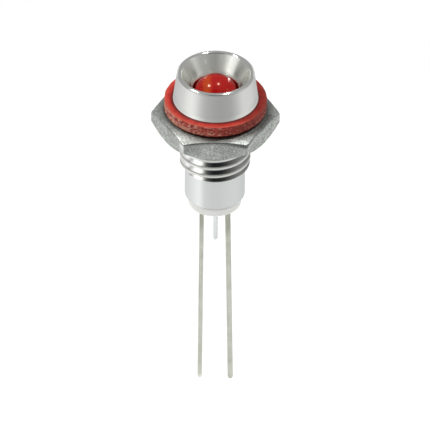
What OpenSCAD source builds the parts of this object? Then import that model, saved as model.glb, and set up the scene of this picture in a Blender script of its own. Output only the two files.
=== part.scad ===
// Panel indicator lamp: a 5 mm LED held in a turned, chrome plated brass bezel by a pressed-in
// plug, with a fibre washer and a thin hexagon nut on the bezel's 5/16-24 thread.
// The origin is the centre of the head's seating face, and +Z points out through the lens.

/* [Bezel head] */
// Diameter of the head at its seating face
head_d = 9.5; // [9.4:0.05:10.4]
// Height of the head, from the seating face to the crest of the lip
head_h = 3.46; // [3.2:0.02:4]
// Diameter of the ring on which the crest of the lip lies
lip_d = 8.05; // [7.7:0.05:8.3]
// Radius of the rounded lip
lip_round = 0.31; // [0.2:0.01:0.4]
// Radius on the head's lower edge
seat_edge = 0.05; // [0.05:0.05:0.3]
// Diameter of the window, where the reflector cone meets the lens
window_d = 5.1; // [5.06:0.02:5.5]
// Height of the window above the seating face
window_z = 1.35; // [1:0.05:2]

/* [Thread and barrel] */
// Outside diameter of the thread
thread_d = 7.94; // [7.9:0.02:8.1]
// Distance between two neighbouring crests
pitch = 1.058; // [1:0.002:1.08]
// Length of the threaded part, from the seating face
thread_len = 9.27; // [8:0.01:10]
// Width of the undercut between the head and the first turn
undercut = 0.5; // [0.3:0.05:0.7]
// Diameter of the plain tail barrel
barrel_d = 6.76; // [6.6:0.02:6.78]
// Length from the seating face to the end of the barrel
barrel_len = 13.05; // [12.5:0.05:13.9]
// Diameter of the bore in the back of the bezel
bore_d = 5.94; // [5.92:0.01:6.1]
// Depth of the ledge that the LED's flange rests against
ledge_z = 4.85; // [4.6:0.05:5.2]

/* [Washer and nut] */
// Outside diameter of the washer
washer_d = 11.56; // [10:0.02:12.4]
// Diameter of the washer's hole
washer_hole = 8.2; // [8.15:0.05:8.6]
// Thickness of the washer
washer_t = 1.24; // [0.8:0.02:1.8]
// Width of the nut across its flats
nut_af = 12.5; // [11.5:0.1:13.5]
// Thickness of the nut
nut_t = 2.9; // [2:0.1:3.5]
// Diameter of the flat inside the chamfer of the nut's front face
nut_front_d = 9.9; // [9:0.1:11]
// Angle of the front face's chamfer
nut_front_angle = 20; // [12:1:25]
// Diameter of the flat inside the chamfer of the nut's rear face
nut_rear_d = 12.1; // [10:0.1:12.3]
// Angle of the rear face's chamfer
nut_rear_angle = 40; // [15:1:45]

/* [LED] */
// Diameter of the lens
lens_d = 5; // [4.8:0.05:5.05]
// Height of the LED body, from the back of its flange to the top of the dome
led_h = 8.65; // [8.3:0.05:9]
// Diameter of the flange
flange_d = 5.88; // [5.5:0.02:5.9]
// Thickness of the flange
flange_t = 1; // [0.8:0.05:1.2]
// Width of the cathode lead, and thickness of both
lead_w = 0.5; // [0.4:0.02:0.56]
// Width of the anode lead
anode_w = 0.6; // [0.4:0.02:0.64]
// Distance between the leads where they leave the epoxy
lead_pitch = 2.54; // [2.4:0.02:2.7]
// Distance between the leads where they leave the plug
exit_pitch = 2.88; // [2.8:0.02:3.2]
// Distance between the tips of the leads
tip_pitch = 3.48; // [3:0.02:4.4]
// Sideways shift of both tips towards the anode
tip_shift = 0.2; // [0:0.01:0.3]
// Depth of the cathode's tip below the seating face
lead_z = 39.15; // [30:0.05:42]
// How much longer the anode lead is
anode_extra = 0.15; // [0:0.05:2]

/* [Retaining plug] */
// Depth of the plug's outer face below the seating face
plug_z = 14.4; // [14:0.05:15]
// Radius on the plug's outer edge
plug_edge = 0.25; // [0.1:0.05:0.4]
// Diameter of the peg between the leads
peg_d = 0.5; // [0.4:0.02:0.8]
// Depth of the peg's tip below the seating face
peg_z = 19.7; // [16:0.1:22]
// Sideways shift of the peg towards the anode
peg_shift = 0.12; // [0:0.01:0.2]

/* [Hidden] */
$fn = 72;
eps = 0.01;

// Unified thread form: crest and root flats, flanks at 30 degrees to the thread's cross plane
thread_r = thread_d / 2;
thread_depth = 0.55 * pitch;
root_r = thread_r - thread_depth;
crest_half = pitch / 16;
flank = tan(30);
turn_steps = 36;
// Angle and height at which the middle of the groove passes
groove_angle = -90;
groove_z = -1.13 * pitch;
// Part of a turn by which a groove starts beyond the end of its thread
run_past = 0.6;
// Play between the flanks of the bezel's thread and the nut's
thread_play = 0.045;
nut_minor_r = thread_r - 0.5 * pitch;
// Radius of the countersinks at both ends of the nut's thread
nut_mouth_r = thread_r + 0.1;
nut_top = -washer_t;

// Heights inside the LED
led_back = -ledge_z - flange_t;
dome_z = led_back + led_h - lens_d / 2;
cup_top = dome_z - 0.95;
cup_floor = cup_top - 0.36;
die_top = cup_floor + 0.3;
anvil_z = led_back + 3;
neck_z = led_back + 1.8;

// Plan sizes inside the LED
flange_flat = 0.34;
cup_x = -0.5;
cup_r = 0.55;
cup_mouth_r = 0.46;
cup_floor_r = 0.3;
cup_h = 0.6;
die_w = 0.3;
post_x = 0.6;
post_half = 0.28;
wire_d = 0.07;

// Bevel on the lead tips, and play between the leads and the plug
tip_bevel = 0.3;
plug_play = 0.05;

// Points of an arc from angle a0 to a1 about centre c, with no step over 12 degrees
function arc(c, r, a0, a1) =
    let (n = max(1, ceil(abs(a1 - a0) / 12)))
    [for (i = [0 : n]) let (a = a0 + (a1 - a0) * i / n) c + r * [cos(a), sin(a)]];

function angle_of(v) = atan2(v[1], v[0]);

// Angle of the normal to the line that touches two circles, on their left (1) or right (-1)
function tangent_normal(c1, r1, c2, r2, hand) =
    angle_of(c2 - c1) + hand * acos((r1 - r2) / norm(c2 - c1));

function reversed(list) = [for (i = [len(list) - 1 : -1 : 0]) list[i]];

// A bar of the given [radius, height] section that winds up round the Z axis.
// The section runs clockwise, and the bar starts at angle start and height z.
module winding(section, start, z, turns) {
    n = len(section);
    rings = ceil(turns * turn_steps);
    points = [
        for (i = [0 : rings], p = section)
            let (a = start + 360 * i / turn_steps)
            [p[0] * cos(a), p[0] * sin(a), z + pitch * i / turn_steps + p[1]]
    ];
    sides = [
        for (i = [0 : rings - 1], j = [0 : n - 1])
            let (a = i * n + j, b = i * n + (j + 1) % n)
            each [[a, b + n, b], [a, a + n, b + n]]
    ];
    ends = [[for (j = [0 : n - 1]) j], [for (j = [n - 1 : -1 : 0]) rings * n + j]];
    polyhedron(points, concat(sides, ends), convexity = 12);
}

// The spiral groove of the bezel's thread, from just past the undercut to past the thread's end
module bezel_groove() {
    over = 0.08;
    half_crest = pitch / 2 - crest_half;
    half_over = half_crest + over * flank;
    half_root = half_crest - thread_depth * flank;
    // Faces of the groove's root stand clear of the barrel between their corners
    inner = root_r / cos(180 / turn_steps);
    bottom = groove_z - pitch * ceil((thread_len + groove_z) / pitch + run_past);
    turns = (-bottom - undercut / 2) / pitch;
    winding(
        [[inner, -half_root], [inner, half_root],
         [thread_r + over, half_over], [thread_r + over, -half_over]],
        groove_angle, bottom, turns);
}

// The nut's thread: the spiral groove that takes the crests of the bezel's thread
module nut_groove() {
    play = thread_play;
    over = 0.12;
    inner = nut_minor_r - over;
    outer = thread_r + play + eps;
    half_outer = crest_half - (outer - thread_r) * flank + play;
    half_inner = crest_half + (thread_r - inner) * flank + play;
    crest_z = groove_z + pitch / 2;
    bottom = crest_z - pitch * ceil((washer_t + nut_t + crest_z) / pitch + run_past);
    turns = (nut_top + pitch - bottom) / pitch;
    winding(
        [[inner, -half_inner], [inner, half_inner], [outer, half_outer], [outer, -half_outer]],
        groove_angle, bottom, turns);
}

// Section of the head: rounded lower edge, slightly tapered side, rounded lip, reflector cone
module head_section() {
    edge_c = [head_d / 2 - seat_edge, seat_edge];
    lip_c = [lip_d / 2, head_h - lip_round];
    window = [window_d / 2, window_z];
    side = tangent_normal(edge_c, seat_edge, lip_c, lip_round, -1);
    cone = tangent_normal(window, 0, lip_c, lip_round, 1);
    polygon(concat(
        [[window_d / 2, 0]],
        arc(edge_c, seat_edge, -90, side),
        arc(lip_c, lip_round, side, cone),
        [window]));
}

// Threaded shank, with its undercut under the head and its chamfered end
module shank() {
    chamfer = thread_r - barrel_d / 2;
    difference() {
        rotate_extrude()
            polygon([
                [0, eps],
                [root_r, eps],
                [root_r, -undercut + thread_depth / 2],
                [thread_r, -undercut - thread_depth / 2],
                [thread_r, -thread_len + chamfer],
                [barrel_d / 2, -thread_len],
                [0, -thread_len]
            ]);
        bezel_groove();
    }
}

module bezel() {
    end_bevel = 0.12;
    color([0.86, 0.87, 0.86])
    difference() {
        union() {
            rotate_extrude() head_section();
            shank();
            translate([0, 0, -barrel_len + end_bevel])
                cylinder(d = barrel_d, h = barrel_len - thread_len - end_bevel + eps);
            translate([0, 0, -barrel_len])
                cylinder(d1 = barrel_d - 2 * end_bevel, d2 = barrel_d, h = end_bevel);
        }
        translate([0, 0, -ledge_z - eps])
            cylinder(d = window_d, h = ledge_z + head_h);
        translate([0, 0, -barrel_len - 1])
            cylinder(d = bore_d, h = barrel_len + 1 - ledge_z);
    }
}

module fibre_washer() {
    color([0.78, 0.22, 0.18])
    translate([0, 0, -washer_t])
    difference() {
        cylinder(d = washer_d, h = washer_t);
        translate([0, 0, -1])
            cylinder(d = washer_hole, h = washer_t + 2);
    }
}

// Solid of revolution that trims the corners of the nut on both faces
module nut_envelope() {
    reach = nut_af / sqrt(3) + 0.1;
    rear_drop = (reach - nut_rear_d / 2) * tan(nut_rear_angle);
    front_drop = (reach - nut_front_d / 2) * tan(nut_front_angle);
    rotate_extrude()
        polygon([
            [0, 0],
            [nut_rear_d / 2, 0],
            [reach, rear_drop],
            [reach, nut_t - front_drop],
            [nut_front_d / 2, nut_t],
            [0, nut_t]
        ]);
}

// Bore of the nut's thread, countersunk at both ends
module nut_bore() {
    sink = nut_mouth_r - nut_minor_r;
    over = 0.1;
    rotate_extrude()
        polygon([
            [0, -over],
            [nut_mouth_r + over, -over],
            [nut_minor_r, sink],
            [nut_minor_r, nut_t - sink],
            [nut_mouth_r + over, nut_t + over],
            [0, nut_t + over]
        ]);
}

module hex_nut() {
    color([0.66, 0.67, 0.63])
    difference() {
        translate([0, 0, nut_top - nut_t])
            intersection() {
                cylinder(d = nut_af / cos(30), h = nut_t, $fn = 6);
                nut_envelope();
            }
        translate([0, 0, nut_top - nut_t]) nut_bore();
        nut_groove();
    }
}

// Solid of the epoxy body before the lead frame is moulded in
module lens_body() {
    difference() {
        union() {
            translate([0, 0, led_back])
                cylinder(d = flange_d, h = flange_t);
            translate([0, 0, led_back])
                rotate_extrude()
                    intersection() {
                        union() {
                            square([lens_d / 2, dome_z - led_back]);
                            translate([0, dome_z - led_back]) circle(d = lens_d);
                        }
                        square([lens_d, led_h]);
                    }
        }
        translate([-flange_d, -flange_d / 2, led_back - 1])
            cube([flange_d / 2 + flange_flat, flange_d, flange_t + 1]);
    }
}

module led_lens() {
    color([0.8, 0.08, 0.1, 0.85])
    difference() {
        lens_body();
        cathode_frame();
        anode_frame();
        die_block();
        wire_arch();
    }
}

// Centre line of a lead from its tip to where it enters the epoxy, on the side -1 or 1
function lead_path(side, tip_z) = [
    [side * tip_pitch / 2 + tip_shift, -tip_z],
    [side * exit_pitch / 2, -plug_z],
    [side * lead_pitch / 2, led_back]
];

function shifted(path, dx) = [for (p = path) p + [dx, 0]];

// Outline of a lead with a bevelled tip; the head's points close it from left to right
module lead_outline(path, width, head) {
    half = width / 2;
    tip = path[0];
    sides = [tip + [0, tip_bevel], path[1], path[2]];
    polygon(concat(
        [tip + [half / 2, 0], tip - [half / 2, 0]],
        shifted(sides, -half),
        head,
        reversed(shifted(sides, half))));
}

// Sheet of the lead frame, standing in the XZ plane
module sheet(thickness) {
    rotate([90, 0, 0])
        linear_extrude(thickness, center = true)
            children();
}

// Cathode: its anvil carries the reflector cup
module cathode_frame() {
    outer = -lead_pitch / 2 - lead_w / 2;
    inner = -lead_pitch / 2 + lead_w / 2;
    outer_shoulder = anvil_z - 0.6;
    inner_shoulder = anvil_z - 0.4;
    anvil_base = cup_top - cup_h;
    sheet(lead_w)
        lead_outline(lead_path(-1, lead_z), lead_w, [
            [outer, outer_shoulder],
            [cup_x - cup_r, anvil_z],
            [cup_x - cup_r, anvil_base + eps],
            [cup_x + cup_r, anvil_base + eps],
            [cup_x + cup_r, inner_shoulder],
            [inner, neck_z]
        ]);
    translate([cup_x, 0, anvil_base])
        difference() {
            cylinder(r = cup_r, h = cup_h);
            translate([0, 0, cup_floor - anvil_base])
                cylinder(r1 = cup_floor_r, r2 = cup_mouth_r, h = cup_top - cup_floor);
        }
}

// Anode: its post ends level with the top of the die
module anode_frame() {
    outer = lead_pitch / 2 + anode_w / 2;
    inner = lead_pitch / 2 - anode_w / 2;
    outer_shoulder = anvil_z + 0.2;
    inner_shoulder = anvil_z - 0.2;
    post_foot = anvil_z + 0.5;
    post_notch = anvil_z + 0.9;
    sheet(lead_w)
        lead_outline(lead_path(1, lead_z + anode_extra), anode_w, [
            [inner, inner_shoulder],
            [post_x - post_half, post_foot],
            [post_x - post_half, die_top],
            [post_x + post_half, die_top],
            [post_x + post_half, post_notch],
            [outer, outer_shoulder]
        ]);
}

module cathode_lead() {
    color([0.73, 0.73, 0.69]) cathode_frame();
}

module anode_lead() {
    color([0.73, 0.73, 0.69]) anode_frame();
}

module die_block() {
    translate([cup_x - die_w / 2, -die_w / 2, cup_floor])
        cube([die_w, die_w, die_top - cup_floor]);
}

module led_die() {
    color([0.3, 0.3, 0.34]) die_block();
}

// Half ring of fine wire from the top of the die to the top of the anode's post
module wire_arch() {
    translate([(cup_x + post_x) / 2, 0, die_top])
        rotate([90, 0, 0])
            rotate_extrude(angle = 180)
                translate([(post_x - cup_x) / 2, 0])
                    circle(d = wire_d, $fn = 24);
}

module bond_wire() {
    color([0.85, 0.68, 0.3]) wire_arch();
}

// The plug's body: its outer edge is rounded, and its inner end tapers to enter the bore
module plug_body() {
    plug_r = bore_d / 2;
    lead_in = 0.3;
    rotate_extrude()
        polygon(concat(
            [[0, led_back], [0, -plug_z]],
            arc([plug_r - plug_edge, plug_edge - plug_z], plug_edge, -90, 0),
            [[plug_r, led_back - lead_in], [plug_r - lead_in / 2, led_back]]));
}

// The peg moulded with the plug, with a round tip and a fillet at its foot
module peg() {
    peg_r = peg_d / 2;
    fillet = 0.1;
    translate([peg_shift, 0, 0])
        rotate_extrude()
            polygon(concat(
                [[0, eps - plug_z], [0, -peg_z]],
                arc([0, peg_r - peg_z], peg_r, -90, 0),
                arc([peg_r + fillet, -plug_z - fillet], fillet, 180, 90),
                [[peg_r + fillet, eps - plug_z]]));
}

// The square hole for a lead, along the lead's own path
module lead_hole(side, width) {
    half = width / 2 + plug_play;
    path = lead_path(side, lead_z);
    mouth = path[2] + [0, 1];
    sheet(lead_w + 2 * plug_play)
        polygon(concat(
            shifted([path[0], path[1], path[2], mouth], -half),
            shifted([mouth, path[2], path[1], path[0]], half)));
}

module retaining_plug() {
    color([0.92, 0.93, 0.92])
    difference() {
        union() {
            plug_body();
            peg();
        }
        lead_hole(-1, lead_w);
        lead_hole(1, anode_w);
    }
}

bezel();
fibre_washer();
hex_nut();
led_lens();
cathode_lead();
anode_lead();
led_die();
bond_wire();
retaining_plug();
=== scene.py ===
"""Panel LED indicator lamp: pieces, finishes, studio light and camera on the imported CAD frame."""
import bmesh
import bpy
import math
import numpy as np
from mathutils import Matrix, Vector, noise


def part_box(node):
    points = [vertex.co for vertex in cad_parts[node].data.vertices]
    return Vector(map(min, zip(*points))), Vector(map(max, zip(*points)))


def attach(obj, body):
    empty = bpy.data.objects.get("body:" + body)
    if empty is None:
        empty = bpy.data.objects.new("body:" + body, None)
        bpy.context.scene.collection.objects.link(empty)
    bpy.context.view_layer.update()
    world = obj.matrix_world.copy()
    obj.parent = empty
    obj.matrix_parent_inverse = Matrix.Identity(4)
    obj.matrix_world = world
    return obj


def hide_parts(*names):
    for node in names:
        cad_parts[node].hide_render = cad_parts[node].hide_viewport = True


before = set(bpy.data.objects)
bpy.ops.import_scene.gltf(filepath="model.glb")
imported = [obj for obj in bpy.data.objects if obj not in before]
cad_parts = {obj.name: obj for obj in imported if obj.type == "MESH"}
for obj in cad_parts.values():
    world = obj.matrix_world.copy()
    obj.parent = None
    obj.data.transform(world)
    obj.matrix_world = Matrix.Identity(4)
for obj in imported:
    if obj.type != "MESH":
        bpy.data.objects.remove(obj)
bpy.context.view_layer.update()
MM = 0.001


def span(node):
    """Lowest and highest corner of a CAD node, in millimetres."""
    low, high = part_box(node)
    return low / MM, high / MM


# Camera: angle, roll and distance, and where the frame's origin falls in the picture, in shares of
# its width
VIEW_ELEVATION = math.radians(36.8)
VIEW_ROLL = math.radians(0.5)
VIEW_DISTANCE = 1.0
VIEW_WIDTH = 0.04778
ORIGIN_RIGHT = 0.0014
ORIGIN_UP = 0.2730

# Light from the studio's lower wall, by azimuth in degrees
LOW_BELT = [(-180, 0.53), (-130, 0.64), (-100, 0.75), (-78, 0.92), (-66, 0.96), (-57, 0.87),
            (-50, 0.79), (-43, 0.67), (-32, 0.54), (-20, 0.465), (0, 0.41), (15, 0.39), (35, 0.415),
            (45, 0.45), (60, 0.57), (72, 0.69), (83, 0.75), (110, 0.73), (150, 0.57), (180, 0.53)]

# Sizes that the CAD boxes give, in millimetres
BEZEL_LOW, BEZEL_HIGH = span("bezel")
WASHER_LOW, WASHER_HIGH = span("fibre_washer")
NUT_LOW, NUT_HIGH = span("hex_nut")
LENS_LOW, LENS_HIGH = span("led_lens")
PLUG_LOW, PLUG_HIGH = span("retaining_plug")
CATHODE_LOW = span("cathode_lead")[0]
ANODE_LOW, ANODE_HIGH = span("anode_lead")
DIE_LOW, DIE_HIGH = span("led_die")
WIRE_LOW, WIRE_HIGH = span("bond_wire")

# Sizes inside those boxes, in millimetres, the same as in the CAD source
LIP_R, LIP_ROUND, SEAT_EDGE = 4.025, 0.31, 0.05
WINDOW_R, WINDOW_Z, LEDGE_Z = 2.55, 1.35, -4.85
THREAD_R, PITCH, THREAD_DEPTH, THREAD_END, UNDERCUT = 3.97, 1.058, 0.5819, -9.27, 0.5
GROOVE_Z = -1.1955
BARREL_R, BORE_R, END_BEVEL = 3.38, 2.97, 0.12
WASHER_HOLE_R = 4.1
NUT_FRONT_R, NUT_FRONT_ANGLE = 4.95, math.radians(20)
NUT_REAR_R, NUT_REAR_ANGLE = 6.05, math.radians(40)
NUT_MINOR_R, THREAD_PLAY = 3.441, 0.045
LENS_R, FLANGE_T = 2.5, 1.0
LEAD_W, ANODE_W, TIP_BEVEL, LEAD_PLAY = 0.5, 0.6, 0.3, 0.05
LEAD_PITCH_X, LEAD_EXIT_X = 1.27, 1.44
PLUG_Z, PLUG_EDGE, PEG_R, PEG_X = -14.4, 0.25, 0.25, 0.12

# Sizes that only the visual pieces have, in millimetres
NUT_CORNER_R = 0.42
CUP_RISE = 0.06
WASHER_RIM = 0.25
TORN_DEPTH, TORN_SWING, TORN_MOST = 0.075, 0.085, 0.2
TEARS = ((12, 2.4, 0.6), (30, 6.0, 0.4))    # noise round the edge and up it, and its share


# ---------------------------------------------------------------- mesh tools

def arc(cx, cz, r, a0, a1, steps):
    """Points of an arc in (radius, height), angles in degrees."""
    angles = np.radians(np.linspace(a0, a1, steps + 1))
    return [(cx + r * math.cos(a), cz + r * math.sin(a)) for a in angles]


def fillet(points, radii, steps=4):
    """An open polyline of points with its inner corners rounded; works on arrays of columns too."""
    out = [points[0]]
    for before, corner, after, r in zip(points, points[1:], points[2:], radii):
        p, q, s = (np.array(v, float) for v in (before, corner, after))
        if r == 0:
            out.append(tuple(q))
            continue
        u = (p - q) / np.linalg.norm(p - q, axis=0)
        v = (s - q) / np.linalg.norm(s - q, axis=0)
        half = np.arccos(np.clip((u * v).sum(0), -1, 1)) / 2
        back = r / np.tan(half)
        middle = (u + v) / np.linalg.norm(u + v, axis=0)
        centre = q + middle * (r / np.sin(half))
        a, b = q + u * back - centre, q + v * back - centre
        turn = math.pi - 2 * half
        for k in range(steps + 1):
            t = k / steps
            w0, w1 = np.sin((1 - t) * turn) / np.sin(turn), np.sin(t * turn) / np.sin(turn)
            out.append(tuple(centre + a * w0 + b * w1))
    out.append(points[-1])
    return out


def held(points, margin=0.05):
    """The same polyline with extra points near both ends of its long spans, to keep them flat."""
    out = [points[0]]
    for before, after in zip(points, points[1:]):
        p, q = (np.array(v, float) for v in (before, after))
        length = np.linalg.norm(q - p, axis=0)
        if np.min(length) > 4 * margin:
            out.append(tuple(p + (q - p) * (margin / length)))
            out.append(tuple(q - (q - p) * (margin / length)))
        out.append(after)
    return out


def columns(points, n):
    """Rows of (radius, height) arrays, n columns wide, from single points or arrays."""
    return [tuple(np.broadcast_to(v, n).astype(float) for v in point) for point in points]


def finish_mesh(name, bm, materials, sharp=35.0):
    """A smooth-shaded object, in metres, from a bmesh in millimetres."""
    bmesh.ops.remove_doubles(bm, verts=bm.verts, dist=1e-5)
    bmesh.ops.dissolve_degenerate(bm, edges=bm.edges, dist=1e-5)
    bmesh.ops.recalc_face_normals(bm, faces=bm.faces)
    if all(edge.is_manifold for edge in bm.edges) and bm.calc_volume(signed=True) < 0:
        bmesh.ops.reverse_faces(bm, faces=bm.faces)
    bmesh.ops.scale(bm, vec=(MM, MM, MM), verts=bm.verts)
    for f in bm.faces:
        f.smooth = True
    mesh = bpy.data.meshes.new(name)
    bm.to_mesh(mesh)
    bm.free()
    mesh.set_sharp_from_angle(angle=math.radians(sharp))
    for m in materials:
        mesh.materials.append(m)
    obj = bpy.data.objects.new(name, mesh)
    bpy.context.scene.collection.objects.link(obj)
    return obj


def ring_faces(bm, rows, theta, material=0, closed=True):
    """Skins rows of (radius, height) round the Z axis; the last column meets the first."""
    n = len(theta)
    c, s = np.cos(theta), np.sin(theta)
    grid = [[bm.verts.new((r[j] * c[j], r[j] * s[j], z[j])) for j in range(n)] for r, z in rows]
    pairs = list(zip(grid, grid[1:]))
    if closed:
        pairs.append((grid[-1], grid[0]))
    for low, high in pairs:
        for j in range(n - 1):
            f = bm.faces.new((low[j], low[j + 1], high[j + 1], high[j]))
            f.material_index = material


def full_turn(steps):
    """Angles of the columns of a turned shape, with the first one again at the end."""
    return np.linspace(0, 2 * math.pi, steps + 1)


def lathe(name, points, material, steps):
    """A solid turned from an outline that starts and ends on the axis."""
    theta = full_turn(steps)
    bm = bmesh.new()
    ring_faces(bm, columns(points, len(theta)), theta, closed=False)
    return finish_mesh(name, bm, [material])


def soft_step(t, soft):
    """0 below 0 and 1 above 1, a straight ramp between, with both corners rounded over soft."""
    low = np.where(t < soft, np.clip(t + soft, 0, None) ** 2 / (4 * soft), t)
    both = np.where(t > 1 - soft, 1 - np.clip(1 + soft - t, 0, None) ** 2 / (4 * soft), low)
    return np.clip(both, 0, 1)


def helix_rows(theta, top, bottom, per_turn, form, limit):
    """Rows that follow the thread from top to bottom; form is the radius at a phase of the pitch."""
    rows = []
    count = int(math.ceil((top - bottom) / PITCH + 1) * per_turn)
    for k in range(count + 1):
        free = top + PITCH - k * PITCH / per_turn - PITCH * (1 - theta / (2 * math.pi))
        z = np.clip(free, bottom, top)
        centre = GROOVE_Z + PITCH * (theta + math.pi / 2) / (2 * math.pi)
        phase = (z - centre) / PITCH
        phase = phase - np.round(phase)
        rows.append((limit(form(np.abs(phase)), z), z))
    return rows


# ---------------------------------------------------------------- node tools

class Nodes:
    """Short calls for a material's nodes."""

    def __init__(self, tree):
        self.tree = tree

    def add(self, kind, settings=None, **inputs):
        node = self.tree.nodes.new(kind)
        for key, value in (settings or {}).items():
            setattr(node, key, value)
        for key, value in inputs.items():
            self.set(node, key.replace("_", " "), value)
        return node

    def set(self, node, key, value):
        socket = node.inputs[int(key)] if key.isdigit() else node.inputs[key]
        if isinstance(value, bpy.types.NodeSocket):
            self.tree.links.new(value, socket)
        else:
            socket.default_value = value

    def calc(self, operation, *values):
        node = self.add("ShaderNodeMath", {"operation": operation})
        for i, value in enumerate(values):
            self.set(node, str(i), value)
        return node.outputs[0]

    def remap(self, value, low, high, to_low=0.0, to_high=1.0, smooth=False):
        settings = {"interpolation_type": "SMOOTHSTEP"} if smooth else {}
        node = self.add("ShaderNodeMapRange", settings, Value=value)
        limits = {"From Min": low, "From Max": high, "To Min": to_low, "To Max": to_high}
        for key, limit in limits.items():
            node.inputs[key].default_value = limit
        return node.outputs[0]

    def ramp(self, value, stops):
        node = self.add("ShaderNodeValToRGB", Fac=value)
        elements = node.color_ramp.elements
        while len(elements) < len(stops):
            elements.new(0.5)
        for e, (position, color) in zip(elements, stops):
            e.position = position
            e.color = (*color, 1) if isinstance(color, tuple) else (color, color, color, 1)
        return node.outputs[0]

    def blend(self, factor, first, second):
        """Colour between two others; each is a socket or a colour."""
        node = self.add("ShaderNodeMix", {"data_type": "RGBA"}, Factor=factor)
        for socket, value in ((node.inputs[6], first), (node.inputs[7], second)):
            if isinstance(value, bpy.types.NodeSocket):
                self.tree.links.new(value, socket)
            else:
                socket.default_value = (*value, 1)
        return node.outputs[2]

    def noise(self, vector, scale, detail=3.0, rough=0.5):
        node = self.add("ShaderNodeTexNoise", Vector=vector, Scale=scale, Detail=detail,
                        Roughness=rough)
        return node.outputs["Fac"]

    def chain(self, operation, *values):
        """All the values taken together, two at a time."""
        total = values[0]
        for value in values[1:]:
            total = self.calc(operation, total, value)
        return total

    def product(self, *values):
        return self.chain("MULTIPLY", *values)

    def weighted(self, *parts):
        """Sum of pairs of a value and its weight."""
        return self.chain("ADD", *[self.product(value, weight) for value, weight in parts])

    def position(self, x=1.0, y=1.0, z=1.0):
        """The piece's own coordinates in millimetres, stretched along each axis."""
        coords = self.add("ShaderNodeTexCoord").outputs["Object"]
        node = self.add("ShaderNodeMapping", Vector=coords)
        node.inputs["Scale"].default_value = (x / MM, y / MM, z / MM)
        return node.outputs[0]

    def axes(self, vector=None):
        """X, Y and Z of a vector, or of the piece's own coordinates in millimetres."""
        vector = self.position() if vector is None else vector
        return self.add("ShaderNodeSeparateXYZ", Vector=vector).outputs[:]

    def reach(self, x, y):
        """Distance from the lamp's axis."""
        return self.calc("SQRT", self.calc("ADD", self.product(x, x), self.product(y, y)))

    def turn(self, x, y, half=180):
        """Azimuth from the camera's side, with 0 to 1 standing for -half to half, in degrees."""
        angle = self.calc("ARCTAN2", x, self.product(y, -1.0))
        return self.remap(angle, -math.radians(half), math.radians(half))

    def belt(self, turn, stops):
        """Brightness round the axis: stops of azimuth in degrees and value."""
        return self.ramp(turn, [((a + 180) / 360, v) for a, v in stops])

    def bump(self, height, distance, strength=1.0):
        node = self.add("ShaderNodeBump", Height=height, Strength=strength)
        node.inputs["Distance"].default_value = distance * MM
        return node.outputs[0]


def material(name, color, rough, metallic=0.0, **sockets):
    """A new material with the short calls for its nodes and its shader."""
    m = bpy.data.materials.new(name)
    m.use_nodes = True
    shader = m.node_tree.nodes["Principled BSDF"]
    shader.inputs["Base Color"].default_value = (*color, 1)
    shader.inputs["Roughness"].default_value = rough
    shader.inputs["Metallic"].default_value = metallic
    for key, value in sockets.items():
        shader.inputs[key.replace("_", " ")].default_value = value
    return m, Nodes(m.node_tree), shader


# ---------------------------------------------------------------- materials

def turned(n, shader):
    """Lathe marks run round the axis, so reflections stretch across them."""
    tangent = n.add("ShaderNodeTangent", {"direction_type": "RADIAL", "axis": "Z"})
    n.set(shader, "Tangent", tangent.outputs[0])


def chrome_plate():
    """Bright plate over turned brass: faint turning marks and a slightly uneven gloss.

    Painted shade darkens the thread's roots in patches, darkest at the left of the middle;
    a painted white glow brightens the roots at the front left."""
    m, n, shader = material("chrome_plate", (0.88, 0.885, 0.865), 0.14, 1.0, Anisotropic=0.7,
                            Anisotropic_Rotation=0.25)
    turned(n, shader)
    turning = n.noise(n.position(0.25, 0.25, 14.0), 1.0, 2.0)
    haze = n.noise(n.position(0.5, 0.5, 0.5), 1.0, 3.0)
    rough = n.calc("ADD", n.remap(turning, 0.3, 0.7, 0.0, 0.06), n.remap(haze, 0.3, 0.7, 0.09, 0.15))
    n.set(shader, "Roughness", rough)
    n.set(shader, "Normal", n.bump(turning, 0.0006, 0.5))
    x, y, z = n.axes()
    turn = n.turn(x, y)
    # Painted shade: the roots of the thread turn near black, by an amount that changes round the axis
    groove = n.product(n.remap(n.reach(x, y), 3.94, 3.8, smooth=True), n.remap(z, -0.25, -0.4),
                       n.remap(z, THREAD_END + 0.1, THREAD_END + 0.2))
    dark = n.belt(turn, [(-180, 0.8), (-120, 0.5), (-75, 0.2), (-55, 0.3), (-48, 0.55), (-41, 0.05),
                         (-23, 0.05), (-15, 0.75), (-3, 1.0), (10, 0.97), (18, 0.88), (32, 0.65),
                         (55, 0.45), (120, 0.8), (180, 0.8)])
    # Painted highlight: the roots glow white at the front left, though nothing there is a lamp
    glow = n.belt(turn, [(-120, 0.0), (-88, 0.42), (-58, 0.42), (-50, 0.1), (-41, 0.38), (-29, 0.36),
                         (-21, 0.0)])
    n.set(shader, "Emission Color", (1.0, 1.0, 1.0, 1.0))
    n.set(shader, "Emission Strength", n.product(groove, glow))
    tail = n.remap(z, THREAD_END + 0.05, THREAD_END - 0.05)
    plate = n.blend(tail, (0.85, 0.857, 0.825), (0.838, 0.862, 0.85))
    n.set(shader, "Base Color", n.blend(n.product(groove, dark), plate, (0.14, 0.142, 0.145)))
    return m


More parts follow.
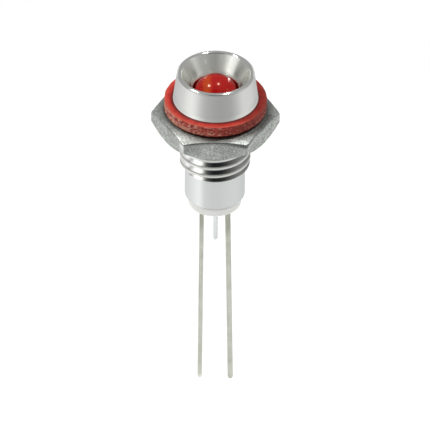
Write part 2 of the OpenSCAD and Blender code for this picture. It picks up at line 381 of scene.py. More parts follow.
def reflector_finish():
    """Cone round the window: the same plate, satin from the form tool, with painted light and dark
    sectors round the axis in its base colour standing in for reflections.
    """
    m, n, shader = material("reflector_satin", (0.85, 0.85, 0.8), 0.22, 1.0, Anisotropic=0.9,
                            Anisotropic_Rotation=0.25)
    turned(n, shader)
    x, y = n.axes()[:2]
    # Painted reflection: light and dark sectors by azimuth in the base colour
    painted_reflection_bands = n.belt(n.turn(x, y), [(-180, 0.85), (-157, 0.86), (-137, 0.97), (-113, 0.86), (0, 0.85),
                                  (78, 0.82), (103, 0.66), (122, 0.8), (140, 0.95), (152, 0.99),
                                  (164, 0.92), (180, 0.85)])
    n.set(shader, "Base Color", n.blend(painted_reflection_bands, (0.0, 0.0, 0.0), (1.0, 1.0, 0.945)))
    streaks = n.noise(n.position(3.0, 3.0, 0.3), 1.0, 3.0)
    n.set(shader, "Roughness", n.remap(streaks, 0.3, 0.7, 0.2, 0.24))
    n.set(shader, "Normal", n.bump(streaks, 0.0006, 0.5))
    return m


def nickel_grain():
    """Dull nickel plate with a fine, tumbled grain.

    Painted shade darkens it beside and under the washer, along the front edge and under that edge,
    and a painted highlight brightens the front left corner. The radii and heights are in millimetres."""
    m, n, shader = material("dull_nickel", (0.5, 0.51, 0.47), 0.42, 1.0)
    grain = n.noise(n.position(), 4.5, 4.0, 0.6)
    patch = n.noise(n.position(), 0.9, 3.0)
    mixed = n.weighted((grain, 0.7), (patch, 0.3))
    color = n.ramp(mixed, [(0.36, (0.34, 0.355, 0.33)), (0.5, (0.53, 0.555, 0.52)),
                           (0.64, (0.8, 0.83, 0.785))])
    x, y, z = n.axes()
    reach = n.reach(x, y)
    normal = n.axes(n.add("ShaderNodeNewGeometry").outputs["Normal"])
    across, slope = normal[0], normal[2]
    drop = n.product(n.calc("SUBTRACT", reach, NUT_FRONT_R), math.tan(NUT_FRONT_ANGLE))
    below = n.calc("SUBTRACT", n.calc("SUBTRACT", NUT_HIGH[2], drop), z)

    # Painted shade beside and under the washer: close to it all round, at the sides and at the front
    ring = n.remap(reach, 5.95, 5.78, smooth=True)
    sides = n.product(n.remap(n.calc("ABSOLUTE", x), 2.4, 3.6), n.remap(reach, 6.6, 5.7),
                      n.remap(x, -3.0, 3.0, 0.8, 1.0))
    front = n.product(n.remap(reach, 6.62, 6.0), n.remap(x, -2.2, -0.6, 0.55, 1.0),
                      n.remap(y, -6.22, -6.08), n.remap(y, 0.0, -1.0))
    neighbour_shade = n.product(n.chain("MAXIMUM", ring, sides, front), n.remap(z, -2.15, -1.85))
    # Painted shade: a dark line along the top edge of the front flats
    edge = n.product(n.remap(slope, 0.2, 0.45, smooth=True), n.remap(slope, 0.92, 0.75, smooth=True),
                     n.remap(y, -5.8, -6.0), n.remap(x, -3.7, -2.9))
    # Painted shade on the front flat just under its top edge, lighter towards the left
    under = n.product(n.remap(below, 0.5, 0.15, smooth=True), n.remap(y, -6.1, -6.2),
                      n.remap(slope, 0.45, 0.2), n.remap(x, 0.5, 3.0, 0.3, 1.0))
    # All the painted shade together, taking the colour towards near black
    painted_shade = n.chain("MAXIMUM", n.product(neighbour_shade, 0.8), n.product(edge, 0.6),
                   n.product(under, 0.75))
    # Painted highlight on the front left corner
    corner_highlight = n.product(n.remap(reach, 6.84, 7.0, smooth=True), n.remap(across, -0.15, -0.45),
                       n.remap(n.calc("ABSOLUTE", slope), 0.5, 0.3), n.remap(y, -4.0, -5.5),
                       n.remap(below, 0.3, 1.3, 1.0, 0.3))
    color = n.blend(corner_highlight, color, (0.96, 0.98, 0.95))
    n.set(shader, "Base Color", n.blend(painted_shade, color, (0.05, 0.045, 0.04)))
    n.set(shader, "Roughness", n.remap(grain, 0.3, 0.7, 0.46, 0.38))
    n.set(shader, "Normal", n.bump(grain, 0.014, 0.6))
    return m


def mirrored(n, low, high):
    """1 where the outside of the surface, above a height, shows in another piece's plate."""
    path = n.add("ShaderNodeLightPath").outputs
    outside = n.calc("SUBTRACT", 1.0, n.add("ShaderNodeNewGeometry").outputs["Backfacing"])
    above = n.remap(n.axes()[2], low, high)
    return n.product(path["Is Glossy Ray"], path["Is Reflection Ray"], above, outside)


def paled(n, shader, color, low, high):
    """Painted reflection: where another piece's plate mirrors this surface, its own colour turns
    black and it glows like the studio instead.

    A wall turns what it mirrors twice as far as itself, so the belt is read at twice the azimuth."""
    here = mirrored(n, low, high)
    x, y = n.axes()[:2]
    n.set(shader, "Base Color", n.blend(here, color, (0.0, 0.0, 0.0)))
    n.set(shader, "Emission Color", n.belt(n.turn(x, y, 90), LOW_BELT))
    n.set(shader, "Emission Strength", here)


def fibre_face():
    """Calendered face of the fibre: paler at its rim, with painted shade against the head and towards
    the right.
    """
    m, n, shader = material("fibre_face", (0.62, 0.045, 0.03), 0.42)
    cloud = n.noise(n.position(), 1.3, 4.0)
    fleck = n.noise(n.position(), 9.0, 2.0)
    mixed = n.weighted((cloud, 0.75), (fleck, 0.25))
    red = n.ramp(mixed, [(0.36, (0.5, 0.026, 0.016)), (0.52, (0.68, 0.04, 0.026)),
                         (0.7, (0.78, 0.075, 0.045))])
    x, y = n.axes()[:2]
    reach = n.reach(x, y)
    head_r, outer = BEZEL_HIGH[0], WASHER_HIGH[0]
    red = n.blend(n.remap(reach, outer - 0.5, outer - 0.15, 0.0, 0.5), red, (0.8, 0.17, 0.11))
    # Painted shade on the face beside the head's base, and more of it towards the right
    neighbour_shade = n.remap(reach, head_r + 0.55, head_r, 0.0, 0.88, smooth=True)
    face_shade = n.calc("MAXIMUM", neighbour_shade, n.remap(x, 1.2, 5.5, 0.0, 0.42))
    # Where the plate mirrors the face, a painted glow of the studio takes the place of its colour
    paled(n, shader, n.blend(face_shade, red, (0.14, 0.006, 0.004)), -0.3, -0.2)
    shader.inputs["Specular IOR Level"].default_value = 0.25
    n.set(shader, "Normal", n.bump(fleck, 0.01, 0.5))
    return m


def fibre_edge():
    """Punched edge of the fibre: torn dark red layers and tan flecks mostly low down; painted light
    adds flecks towards the left and painted shade darkens it towards the right.
    """
    m, n, shader = material("fibre_edge", (0.3, 0.03, 0.02), 0.75)
    torn = n.noise(n.position(1.0, 1.0, 1.6), 3.2, 4.0, 0.65)
    fleck = n.noise(n.position(1.0, 1.0, 1.7), 2.6, 3.0, 0.6)
    base = n.ramp(torn, [(0.36, (0.2, 0.024, 0.016)), (0.5, (0.45, 0.047, 0.032)),
                         (0.64, (0.64, 0.12, 0.085))])
    x, _, z = n.axes()
    depth = n.remap(z, WASHER_HIGH[2], WASHER_LOW[2])
    layer = n.ramp(depth, [(0.0, 0.55), (0.4, 0.2), (0.72, 0.9), (0.95, 0.4)])
    lift = n.product(n.calc("SUBTRACT", layer, 0.5), 0.16)
    # Painted light: more pale flecks towards the left
    lift = n.calc("ADD", lift, n.remap(x, -4.5, 2.0, 0.1, -0.03))
    pale = n.remap(n.calc("ADD", fleck, lift), 0.52, 0.68, 0.0, 0.75, smooth=True)
    flecked = n.blend(pale, base, (0.82, 0.45, 0.32))
    # Painted shade: darker towards the right
    flecked = n.blend(n.remap(x, 0.0, 3.0, 0.0, 0.3), flecked, (0.08, 0.008, 0.005))
    # Where the plate mirrors the edge, a painted glow of the studio takes the place of its colour
    paled(n, shader, flecked, -0.2, -0.1)
    n.set(shader, "Normal", n.bump(torn, 0.12, 0.8))
    return m


def epoxy():
    """Clear epoxy, tinted red; painted shade darkens its limb and a painted warm streak stands in
    for the cup's light seen through it.
    """
    m, n, shader = material("red_epoxy", (0.62, 0.005, 0.006), 0.17, 0.0, Transmission_Weight=0.45,
                            IOR=1.5, Specular_IOR_Level=0.35, Specular_Tint=(1.0, 0.68, 0.52, 1.0))
    swirl = n.noise(n.position(), 1.1, 3.0)
    bend = n.calc("ADD", n.axes()[0], n.product(n.calc("SUBTRACT", swirl, 0.5), 0.5))
    # Painted light: a warm streak left of the middle stands in for the cup's light seen through the
    # epoxy
    streak = n.product(n.remap(bend, -1.6, -1.1, smooth=True),
                       n.remap(bend, -0.3, -0.85, smooth=True))
    warm = n.weighted((streak, 0.6), (swirl, 0.35))
    red = n.ramp(warm, [(0.1, (0.78, 0.009, 0.011)), (0.25, (0.9, 0.014, 0.014)),
                        (0.8, (1.0, 0.105, 0.014))])
    facing = n.add("ShaderNodeLayerWeight").outputs["Facing"]
    n.set(shader, "Specular IOR Level", n.remap(facing, 0.2, 0.5, 0.5, 0.13))
    n.set(shader, "Transmission Weight", n.remap(facing, 0.35, 0.6, 0.45, 0.12))
    # Painted shade: the colour darkens towards the limb
    limb = n.product(n.remap(facing, 0.3, 0.75, smooth=True), 0.85)
    red = n.blend(limb, red, (0.3, 0.012, 0.006))
    # Painted reflection: where the plate mirrors the lens, it shows pale grey instead of red
    n.set(shader, "Base Color", n.blend(mirrored(n, 1.2, 1.5), red, (0.6, 0.6, 0.57)))
    return m


def tin_plate():
    """Tinned lead, drawn along its length, duller next to the plug."""
    m, n, shader = material("tinned_lead", (0.6, 0.6, 0.53), 0.36, 1.0)
    drawn = n.noise(n.position(6.0, 6.0, 0.25), 1.0, 3.0)
    patch = n.noise(n.position(0.8, 0.8, 0.8), 1.0, 3.0)
    mixed = n.weighted((drawn, 0.5), (patch, 0.5))
    dull = n.ramp(mixed, [(0.35, (0.5, 0.505, 0.425)), (0.65, (0.65, 0.655, 0.565))])
    clean = n.ramp(mixed, [(0.35, (0.69, 0.7, 0.605)), (0.65, (0.85, 0.86, 0.765))])
    away = n.remap(n.axes()[2], -17.0, -20.0, smooth=True)
    n.set(shader, "Base Color", n.blend(away, dull, clean))
    n.set(shader, "Roughness", n.remap(patch, 0.3, 0.7, 0.45, 0.3))
    n.set(shader, "Normal", n.bump(drawn, 0.006, 0.5))
    return m


def chip():
    """Dark semiconductor, faintly mottled."""
    m, n, shader = material("chip", (0.12, 0.12, 0.14), 0.3)
    grain = n.noise(n.position(), 12.0)
    n.set(shader, "Base Color", n.ramp(grain, [(0.3, (0.09, 0.09, 0.1)), (0.7, (0.17, 0.17, 0.2))]))
    return m


def gold():
    """Drawn gold wire, unevenly bright."""
    m, n, shader = material("gold_wire", (0.9, 0.62, 0.2), 0.2, 1.0)
    n.set(shader, "Roughness", n.remap(n.noise(n.position(), 8.0), 0.3, 0.7, 0.16, 0.28))
    return m


def white_plastic():
    """Milky moulded plastic, cooler on the peg, with a painted dark line of shade where it meets the
    barrel and a faint painted glow.
    """
    m, n, shader = material("white_plastic", (0.84, 0.87, 0.86), 0.35)
    cloud = n.noise(n.position(), 1.1, 3.0)
    x, _, z = n.axes()
    body = n.ramp(cloud, [(0.3, (0.9, 0.905, 0.86)), (0.7, (0.95, 0.955, 0.915))])
    body = n.blend(n.remap(z, PLUG_Z, PLUG_Z - 0.4), body, (0.89, 0.93, 0.92))
    barrel_z = BEZEL_LOW[2]
    # Painted shade next to the barrel, lighter towards the left
    barrel_shade = n.product(n.remap(z, barrel_z - 0.6, barrel_z - 0.25, 0.0, 0.55, smooth=True),
                        n.remap(x, -1.8, -0.8, 0.3, 1.0))
    n.set(shader, "Base Color", n.blend(barrel_shade, body, (0.35, 0.35, 0.32)))
    # Painted light: a faint white glow, though the plastic is no lamp
    shader.inputs["Emission Color"].default_value = (1.0, 1.0, 0.97, 1)
    shader.inputs["Emission Strength"].default_value = 0.11
    n.set(shader, "Normal", n.bump(n.noise(n.position(), 14.0, 2.0), 0.004, 0.4))
    return m


# ---------------------------------------------------------------- pieces

def place(obj, slot, *nodes):
    """Gives a finished piece its body and hides the CAD nodes that it stands for; the slot is not
    used.
    """
    weighted = obj.modifiers.new("normals", "WEIGHTED_NORMAL")
    weighted.keep_sharp = True
    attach(obj, "root")
    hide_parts(*nodes)
    return obj


def tangent_angle(c1, r1, c2, r2, hand):
    """Angle of the normal to the line that touches two circles, on their left (1) or right (-1)."""
    d = np.subtract(c2, c1)
    lean = math.acos((r1 - r2) / np.linalg.norm(d))
    return math.degrees(math.atan2(d[1], d[0])) + hand * math.degrees(lean)


def thread_form(phase):
    """Radius of the bezel's thread at a distance from the middle of the groove, in pitches.

    The plate rounds the crests and roots and leaves the crests wider than the bare thread's."""
    root, crest, soft = 0.11, 0.35, 0.12
    return THREAD_R - THREAD_DEPTH * (1 - soft_step((phase - root) / (crest - root), soft))


def thread_limit(r, z):
    """Trims the thread to the undercut at its top and to the chamfer at its end."""
    root = THREAD_R - THREAD_DEPTH
    top = root + np.clip(-UNDERCUT + THREAD_DEPTH / 2 - z, 0, None)
    end = BARREL_R + np.clip(z - THREAD_END, 0, None)
    return np.minimum(r, np.minimum(top, end))


def bezel_piece(outside, cone):
    """Head with its lip and reflector cone, thread and barrel, in one mesh."""
    head_r, head_z, barrel_z = BEZEL_HIGH[0], BEZEL_HIGH[2], BEZEL_LOW[2]
    theta = full_turn(192)
    edge_c, lip_c = (head_r - SEAT_EDGE, SEAT_EDGE), (LIP_R, head_z - LIP_ROUND)
    side = tangent_angle(edge_c, SEAT_EDGE, lip_c, LIP_ROUND, -1)
    wall = tangent_angle((WINDOW_R, WINDOW_Z), 0, lip_c, LIP_ROUND, 1)
    lip = arc(*lip_c, LIP_ROUND, wall, side, 16)
    root = THREAD_R - THREAD_DEPTH
    window = fillet([(WINDOW_R, LEDGE_Z), (WINDOW_R, WINDOW_Z), lip[0]], [0.04], 3)
    cone_rows = held([window[-2], lip[0]])
    head = held(lip + arc(*edge_c, SEAT_EDGE, side, -90, 8))
    under = fillet([head[-1], (root, 0), (root, -UNDERCUT + THREAD_DEPTH / 2)], [0.06], 3)[1:]
    thread = helix_rows(theta, -UNDERCUT + THREAD_DEPTH / 2, THREAD_END, 14, thread_form,
                        thread_limit)
    tail = held(fillet([(BARREL_R, THREAD_END), (BARREL_R, barrel_z + END_BEVEL),
                        (BARREL_R - END_BEVEL, barrel_z), (BORE_R, barrel_z), (BORE_R, LEDGE_Z),
                        (WINDOW_R, LEDGE_Z)], [0.05, 0.04, 0.04, 0.04], 3))
    bm = bmesh.new()
    n = len(theta)
    ring_faces(bm, columns(cone_rows, n), theta, 1, closed=False)
    outside_rows = columns(head + under, n) + thread + columns(tail + window[:-1], n)
    ring_faces(bm, outside_rows, theta, 0, closed=False)
    return place(finish_mesh("bezel_plated", bm, [outside, cone]), "chrome", "bezel")


def hexagon_radius(theta, half_af, corner):
    """Plan outline of a hexagon with rounded corners; its flats face +Y and -Y."""
    sector = math.pi / 3
    off = (theta + sector / 2) % sector - sector / 2
    flat = half_af / np.cos(sector / 2 - np.abs(off))
    centre = (half_af - corner) / math.cos(sector / 2)
    reach = math.atan2(corner * math.sin(sector / 2), centre + corner * math.cos(sector / 2))
    inside = np.clip(corner ** 2 - (centre * np.sin(off)) ** 2, 0, None)
    return np.where(np.abs(off) < reach, centre * np.cos(off) + np.sqrt(inside), flat)


def hexagon_angles(half_af, corner):
    """Columns round the hexagon, closer together at its corners."""
    sector = math.pi / 3
    reach, close = corner / (half_af / math.cos(sector / 2)), 0.6
    part = np.concatenate([np.linspace(-reach, reach, 9)[:-1] * close,
                           np.linspace(reach * close, sector - reach * close, 25)[:-1]])
    return np.concatenate([part + k * sector for k in range(6)] + [[part[0] + 2 * math.pi]])


def nut_form(phase):
    """Radius of the nut's internal thread at a distance from the middle of the bezel's groove."""
    return np.maximum(thread_form(phase + THREAD_PLAY / PITCH) + THREAD_PLAY, NUT_MINOR_R)


def nut_piece(plate):
    """Hexagon nut, chamfered on both sides, with its own thread."""
    half_af, top, bottom = NUT_HIGH[1], NUT_HIGH[2], NUT_LOW[2]
    theta = hexagon_angles(half_af, NUT_CORNER_R)
    outline = hexagon_radius(theta, half_af, NUT_CORNER_R)
    front_drop = (outline - NUT_FRONT_R) * math.tan(NUT_FRONT_ANGLE)
    rear_drop = (outline - NUT_REAR_R) * math.tan(NUT_REAR_ANGLE)
    mouth = THREAD_R + 0.1
    same = np.ones_like(theta)
    section = [(mouth * same, top * same), (NUT_FRONT_R * same, top * same),
               (outline, top - front_drop), (outline, bottom + rear_drop),
               (NUT_REAR_R * same, bottom * same), (mouth * same, bottom * same)]
    rows = held(fillet(section, [0.25, 0.26, 0.08, 0.1], 6))

    def mouths(r, z):
        """Opens both ends of the thread into a bevel."""
        sink = np.maximum(mouth - (top - z), mouth - (z - bottom))
        return np.maximum(r, sink)

    inner = helix_rows(theta, top, bottom, 12, nut_form, mouths)[::-1]
    bm = bmesh.new()
    ring_faces(bm, rows + inner, theta)
    return place(finish_mesh("hex_nut_plated", bm, [plate], sharp=28), "dull_nickel", "hex_nut")


def torn(angle, z):
    """Noise on the punched edge, between about -1 and 1."""
    x, y = math.cos(angle), math.sin(angle)
    return sum(share * noise.noise(Vector((x * around, y * around, z * up)))
               for around, up, share in TEARS)


def washer_piece(face, edge):
    """Flat faces and hole, and a punched edge with torn fibres; the face runs on over the rim."""
    outer, top, bottom = WASHER_HIGH[0], WASHER_HIGH[2], WASHER_LOW[2]
    inner, bevel, steps = outer - WASHER_RIM, 0.05, 4
    theta = full_turn(360)
    n = len(theta)
    flat = [(inner, bottom), (WASHER_HOLE_R + bevel, bottom), (WASHER_HOLE_R, bottom + bevel),
            (WASHER_HOLE_R, top - bevel), (WASHER_HOLE_R + bevel, top), (inner, top)]
    bm = bmesh.new()
    ring_faces(bm, columns(flat, n), theta, 0, closed=False)
    wall = fillet([(inner, top), (outer, top), (outer, bottom), (inner, bottom)], [0.12, 0.1], steps)
    upper = steps + 2
    levels = [(outer, top + (bottom - top) * t) for t in np.linspace(0.1, 0.92, 12)]
    rows = columns(wall[:upper] + levels + wall[upper:], n)
    rough = []
    for k, (r, z) in enumerate(rows):
        if 0 < k < len(rows) - 1:
            inside = min(1, k / 4, (len(rows) - 1 - k) / 3)
            tears = [torn(a, h) for a, h in zip(theta[:-1], z)]
            tears.append(tears[0])
            r = r - inside * (TORN_DEPTH + TORN_SWING * np.array(tears)).clip(0, TORN_MOST)
        rough.append((r, z))
    rim = upper // 2    # halfway round the upper corner
    ring_faces(bm, rough[:rim + 1], theta, 0, closed=False)
    ring_faces(bm, rough[rim:], theta, 1, closed=False)
    washer = finish_mesh("washer_fibre", bm, [face, edge], sharp=60)
    return place(washer, "red_fibre", "fibre_washer")


def lens_piece(resin):
    """Body of the 5 mm LED: dome, barrel, and flange with its flat at the cathode."""
    theta = full_turn(128)
    back, top = LENS_LOW[2], LENS_HIGH[2]
    dome_z, bevel = top - LENS_R, 0.08
    nowhere = 99.0
    flat = np.where(np.cos(theta) < 0, LENS_LOW[0] / np.minimum(np.cos(theta), -1e-6), nowhere)
    plan = np.minimum(LENS_HIGH[0], flat)
    front = back + FLANGE_T
    section = [(0, back), (plan - bevel, back), (plan, back + bevel), (plan, front - bevel),
               (plan - bevel, front), (LENS_R, front), (LENS_R, dome_z)]
    section += arc(0, dome_z, LENS_R, 0, 90, 28)[1:]
    bm = bmesh.new()
    ring_faces(bm, columns(section, len(theta)), theta, closed=False)
    return place(finish_mesh("lens_epoxy", bm, [resin], sharp=40), "red_epoxy", "led_lens")


def sheet_piece(name, outline, metal, node, extra=None):
    """A blade of the lead frame in the XZ plane, with softened edges."""
    bm = bmesh.new()
    lower = [bm.verts.new((x, -LEAD_W / 2, z)) for x, z in outline]
    upper = [bm.verts.new((x, LEAD_W / 2, z)) for x, z in outline]
    bm.faces.new(lower)
    bm.faces.new(upper[::-1])
    n = len(outline)
    for i in range(n):
        bm.faces.new((lower[i], upper[i], upper[(i + 1) % n], lower[(i + 1) % n]))
    bmesh.ops.recalc_face_normals(bm, faces=bm.faces)
    edges = [e for e in bm.edges if e.is_manifold and e.calc_face_angle(0) > math.radians(40)]
    bmesh.ops.bevel(bm, geom=edges, offset=0.06, segments=3, profile=0.5, affect="EDGES",
                    clamp_overlap=True)
    if extra:
        extra(bm)
    return place(finish_mesh(name, bm, [metal], sharp=40), "tinned_lead", node)


def smooth_path(points, reach=1.2, steps=8):
    """A polyline with its inner kinks turned into gentle bends."""
    out = [points[0]]
    for before, corner, after in zip(points, points[1:], points[2:]):
        p, q, s = (np.array(v, float) for v in (before, corner, after))
        a = q + (p - q) / np.linalg.norm(p - q) * reach
        b = q + (s - q) / np.linalg.norm(s - q) * reach
        for t in np.linspace(0, 1, steps + 1):
            out.append(tuple((1 - t) ** 2 * a + 2 * t * (1 - t) * q + t * t * b))
    out.append(points[-1])
    return out


def lead_outline(tip_x, tip_z, side, width, head):
    """Outline of a lead: bevelled tip, shank bent at the plug, and the head inside the epoxy."""
    half = width / 2
    path = smooth_path([(tip_x, tip_z + TIP_BEVEL), (side * LEAD_EXIT_X, PLUG_Z),
                        (side * LEAD_PITCH_X, LENS_LOW[2])])
    left = [(x - half, z) for x, z in path]
    right = [(x + half, z) for x, z in reversed(path)]
    return [(tip_x - half / 2, tip_z)] + left + head + right + [(tip_x + half / 2, tip_z)]


def cup_rings(bm):
    """Reflector cup on the cathode's anvil."""
    x, r, mouth, floor_r, depth, bevel = -0.5, 0.55, 0.46, 0.3, 0.6, 0.03
    top, floor = DIE_HIGH[2] + CUP_RISE, DIE_LOW[2]
    base = top - depth
    section = [(0, base), (r, base), (r, top - bevel), (r - bevel, top), (mouth, top),
               (floor_r, floor), (0, floor)]
    theta = full_turn(48)
    start = set(bm.verts)
    ring_faces(bm, columns(section, len(theta)), theta, closed=False)
    bmesh.ops.translate(bm, vec=(x, 0, 0), verts=[v for v in bm.verts if v not in start])


def cathode_piece(metal):
    """Left lead, with the anvil and the reflector cup."""
    back, anvil_z = LENS_LOW[2], DIE_HIGH[2] + CUP_RISE - 0.59
    head = [(-1.52, back + 2.4), (-1.05, back + 3), (-1.05, anvil_z), (0.05, anvil_z),
            (0.05, back + 2.6), (-1.02, back + 1.8)]
    outline = lead_outline(CATHODE_LOW[0] + LEAD_W / 2, CATHODE_LOW[2], -1, LEAD_W, head)
    return sheet_piece("lead_cathode", outline, metal, "cathode_lead", cup_rings)


def anode_piece(metal):
    """Right lead, with the post that the bond wire reaches."""
    back = LENS_LOW[2]
    head = [(0.97, back + 2.8), (0.32, back + 3.5), (0.32, DIE_HIGH[2]), (0.88, DIE_HIGH[2]),
            (0.88, back + 3.9), (1.57, back + 3.2)]
    outline = lead_outline(ANODE_HIGH[0] - ANODE_W / 2, ANODE_LOW[2], 1, ANODE_W, head)
    return sheet_piece("lead_anode", outline, metal, "anode_lead")


def die_piece(stuff):
    """The chip, with its edges broken."""
    bm = bmesh.new()
    bmesh.ops.create_cube(bm, size=1.0)
    middle, size = (DIE_LOW + DIE_HIGH) / 2, DIE_HIGH - DIE_LOW
    for v in bm.verts:
        v.co = Vector((v.co.x * size.x, v.co.y * size.y, v.co.z * size.z)) + middle
    bmesh.ops.bevel(bm, geom=list(bm.edges), offset=0.015, segments=2, profile=0.5, affect="EDGES")
    return place(finish_mesh("die_chip", bm, [stuff], sharp=30), "die", "led_die")


def wire_piece(metal):
    """Bond wire: an arch from the chip to the anode's post, with a ball on the chip."""
    radius = (WIRE_HIGH[1] - WIRE_LOW[1]) / 2
    reach = (WIRE_HIGH[0] - WIRE_LOW[0]) / 2 - radius
    cx, z0 = (WIRE_HIGH[0] + WIRE_LOW[0]) / 2, WIRE_LOW[2]
    bm = bmesh.new()
    around = full_turn(16)[:-1]
    rings = []
    for a in np.linspace(0, math.pi, 33):
        ring = []
        for b in around:
            r = reach + radius * math.cos(b)
            where = (cx + r * math.cos(a), radius * math.sin(b), z0 + r * math.sin(a))
            ring.append(bm.verts.new(where))
        rings.append(ring)
    for p, q in zip(rings, rings[1:]):
        for j in range(len(around)):
            k = (j + 1) % len(around)
            bm.faces.new((p[j], p[k], q[k], q[j]))
    bm.faces.new(rings[0])
    bm.faces.new(rings[-1][::-1])
    return place(finish_mesh("bond_wire_gold", bm, [metal], sharp=50), "gold_wire", "bond_wire")


def combine(obj, tool, operation):
    """Cuts a second solid out of the first, or joins it on."""
    cut = obj.modifiers.new("tool", "BOOLEAN")
    cut.operation, cut.solver, cut.object = operation, "EXACT", tool
    with bpy.context.temp_override(object=obj, active_object=obj):
        bpy.ops.object.modifier_apply(modifier=cut.name)
    bpy.data.objects.remove(tool)
    bm = bmesh.new()
    bm.from_mesh(obj.data)
    bmesh.ops.remove_doubles(bm, verts=bm.verts, dist=1e-6)
    bmesh.ops.dissolve_degenerate(bm, edges=bm.edges, dist=1e-6)
    bm.to_mesh(obj.data)
    bm.free()


def lead_cutter(side, width, plastic):
    """A square bar along a lead's path, with its play, that opens the plug's hole."""
    half_x, half_y = width / 2 + LEAD_PLAY, LEAD_W / 2 + LEAD_PLAY
    back = LENS_LOW[2]
    path = [(side * (LEAD_EXIT_X + 0.02), PLUG_Z - 1), (side * LEAD_EXIT_X, PLUG_Z),
            (side * LEAD_PITCH_X, back), (side * LEAD_PITCH_X, back + 1)]
    corners = ((-half_x, -half_y), (half_x, -half_y), (half_x, half_y), (-half_x, half_y))
    bm = bmesh.new()
    rings = [[bm.verts.new((x + dx, dy, z)) for dx, dy in corners] for x, z in path]
    for p, q in zip(rings, rings[1:]):
        for j in range(4):
            bm.faces.new((p[j], p[(j + 1) % 4], q[(j + 1) % 4], q[j]))
    bm.faces.new(rings[0][::-1])
    bm.faces.new(rings[-1])
    return finish_mesh("cutter", bm, [plastic])


def plug_piece(plastic):
    """Moulded plug with the peg under it and a hole for each lead."""
    back, plug_r, tip = LENS_LOW[2], PLUG_HIGH[0], PLUG_LOW[2]
    taper, taper_z, root = 0.15, 0.3, 0.1
    body = [(0, PLUG_Z)] + arc(plug_r - PLUG_EDGE, PLUG_Z + PLUG_EDGE, PLUG_EDGE, -90, 0, 8)
    body += [(plug_r, back - taper_z), (plug_r - taper, back), (0, back)]
    obj = lathe("plug_white", body, plastic, 128)
    peg = [(0, tip)] + arc(0, tip + PEG_R, PEG_R, -90, 0, 8)[1:]
    peg += arc(PEG_R + root, PLUG_Z - root, root, 180, 90, 4)
    peg += [(PEG_R + root, PLUG_Z + root), (0, PLUG_Z + root)]
    foot = lathe("peg", peg, plastic, 32)
    foot.data.transform(Matrix.Translation((PEG_X * MM, 0, 0)))
    combine(obj, foot, "UNION")
    combine(obj, lead_cutter(-1, LEAD_W, plastic), "DIFFERENCE")
    combine(obj, lead_cutter(1, ANODE_W, plastic), "DIFFERENCE")
    return place(obj, "white_plastic", "retaining_plug")


# ---------------------------------------------------------------- studio

def make_floor():
    """A plain, pale disc under the tips of the leads, evenly bright to the camera; to glossy rays it
    shows painted soft sectors of brightness, which the plate mirrors.
    """
    radius, height = 60.0, ANODE_LOW[2] - 0.02
    bm = bmesh.new()
    bmesh.ops.create_circle(bm, cap_ends=True, segments=96, radius=radius)
    bmesh.ops.translate(bm, vec=(0, 0, height), verts=bm.verts)
    m, n, shader = material("floor", (0.05, 0.05, 0.05), 0.9)
    shader.inputs["Specular IOR Level"].default_value = 0.0
    shader.inputs["Emission Color"].default_value = (1, 1, 1, 1)
    x, y = n.axes()[:2]
    # Painted reflection: brightness by azimuth, seen only in glossy reflections
    shade = n.belt(n.turn(x, y), [(-180, 0.66), (-138, 0.71), (-117, 0.76), (-103, 0.8), (-91, 0.84),
                                  (-80, 0.885), (-70, 0.93), (-63, 0.965), (-57, 0.94), (-52, 0.88),
                                  (-43, 0.77), (-37, 0.7), (-27, 0.68), (-7, 0.65), (18, 0.656),
                                  (41, 0.685), (70, 0.708), (101, 0.685), (131, 0.62), (180, 0.66)])
    glossy = n.add("ShaderNodeLightPath").outputs["Is Glossy Ray"]
    plain = n.product(n.calc("SUBTRACT", 1.0, glossy), 1.05)
    n.set(shader, "Emission Strength", n.calc("ADD", plain, n.product(glossy, shade)))
    floor = finish_mesh("floor", bm, [m])


def direction(azimuth, elevation):
    """Unit vector; azimuth 0 is towards the camera's side, positive to the right."""
    a, e = math.radians(azimuth), math.radians(elevation)
    return Vector((math.sin(a) * math.cos(e), -math.cos(a) * math.cos(e), math.sin(e)))


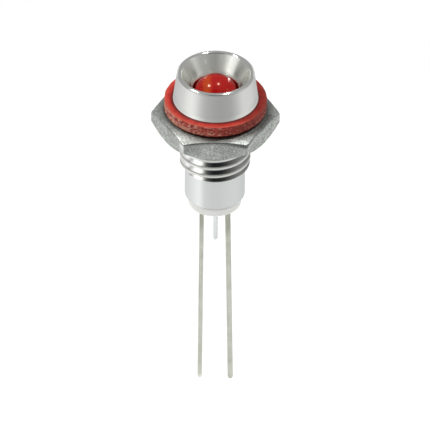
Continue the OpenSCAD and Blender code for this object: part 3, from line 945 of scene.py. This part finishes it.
def make_world():
    """Soft studio: broad panels left and right, strips behind, and a dark stand above."""
    world = bpy.data.worlds.new("studio")
    bpy.context.scene.world = world
    world.use_nodes = True
    n = Nodes(world.node_tree)
    background = world.node_tree.nodes["Background"]
    x, y, z = n.axes(n.add("ShaderNodeTexCoord").outputs["Generated"])
    turn = n.turn(x, y)
    low = n.belt(turn, LOW_BELT)
    waist = n.belt(turn, [(-180, 0.38), (-60, 0.42), (0, 0.345), (45, 0.38), (98, 0.42),
                          (180, 0.38)])
    middle = n.belt(turn, [(-180, 0.38), (-86, 0.4), (-80, 1.3), (-52, 1.35), (-42, 1.0), (-30, 0.57),
                           (-15, 0.47), (0, 0.345), (28, 0.37), (45, 0.38), (60, 0.47), (75, 0.8),
                           (80, 0.95), (88, 0.8), (98, 0.42), (127, 0.38), (180, 0.38)])
    strips = n.belt(turn, [(-160, 0.0), (-155, 1.0), (-138, 1.0), (-132, 0.0), (132, 0.0), (138, 1.0),
                           (155, 1.0), (160, 0.0)])
    strips = n.product(strips, n.remap(z, -0.06, 0.0, smooth=True),
                       n.remap(z, 0.24, 0.18, smooth=True))
    wall = n.blend(n.remap(z, -0.2, -0.02, smooth=True), low, waist)
    wall = n.blend(n.remap(z, 0.26, 0.36, smooth=True), wall, middle)
    wall = n.blend(n.remap(z, 0.47, 0.58, smooth=True), wall, waist)
    wall = n.blend(strips, wall, (1.1, 1.1, 1.1))
    upper = n.blend(n.remap(z, 0.7, 0.88, smooth=True), wall, (0.4, 0.4, 0.4))
    stand = n.product(n.belt(turn, [(-38, 0.0), (-24, 1.0), (24, 1.0), (38, 0.0)]),
                      n.remap(z, 0.6, 0.72, smooth=True), n.remap(z, 0.95, 0.88, smooth=True))
    upper = n.blend(stand, upper, (0.07, 0.07, 0.07))
    camera_ray = n.add("ShaderNodeLightPath").outputs["Is Camera Ray"]
    n.set(background, "Color", n.blend(camera_ray, upper, (1, 1, 1)))
    background.inputs["Strength"].default_value = 1.0


def make_lamp(name, azimuth, elevation, width, energy, distance=0.5):
    """A round lamp, its width in degrees as the object sees it."""
    data = bpy.data.lights.new(name, "AREA")
    data.shape = "DISK"
    data.size = 2 * distance * math.tan(math.radians(width / 2))
    data.energy = energy
    obj = bpy.data.objects.new(name, data)
    where = direction(azimuth, elevation)
    obj.location = where * distance
    obj.rotation_euler = where.to_track_quat("Z", "Y").to_euler()
    obj.visible_camera = False
    bpy.context.scene.collection.objects.link(obj)


def make_camera():
    """The photo's view: a long lens, turned by the roll about its own axis."""
    right0 = Vector((1, 0, 0))
    up0 = Vector((0, math.sin(VIEW_ELEVATION), math.cos(VIEW_ELEVATION)))
    back = Vector((0, -math.cos(VIEW_ELEVATION), math.sin(VIEW_ELEVATION)))
    c, s = math.cos(VIEW_ROLL), math.sin(VIEW_ROLL)
    right, up = right0 * c + up0 * s, up0 * c - right0 * s
    target = -(right * ORIGIN_RIGHT + up * ORIGIN_UP) * VIEW_WIDTH
    data = bpy.data.cameras.new("camera")
    data.sensor_width = 36.0
    data.lens = data.sensor_width * VIEW_DISTANCE / VIEW_WIDTH
    data.clip_start, data.clip_end = 0.01, 20.0
    cam = bpy.data.objects.new("camera", data)
    turn = Matrix((right, up, back)).transposed().to_4x4()
    cam.matrix_world = Matrix.Translation(target + back * VIEW_DISTANCE) @ turn
    bpy.context.scene.collection.objects.link(cam)
    bpy.context.scene.camera = cam


make_camera()
bezel_piece(chrome_plate(), reflector_finish())
nut_piece(nickel_grain())
washer_piece(fibre_face(), fibre_edge())
lens_piece(epoxy())
tin = tin_plate()
cathode_piece(tin)
anode_piece(tin)
die_piece(chip())
wire_piece(gold())
plug_piece(white_plastic())
make_floor()
make_world()
make_lamp("lamp_left", azimuth=-98, elevation=60, width=7, energy=0.75)
make_lamp("lamp_top", azimuth=125, elevation=75, width=6, energy=0.42)
bpy.context.scene.view_settings.view_transform = "Standard"
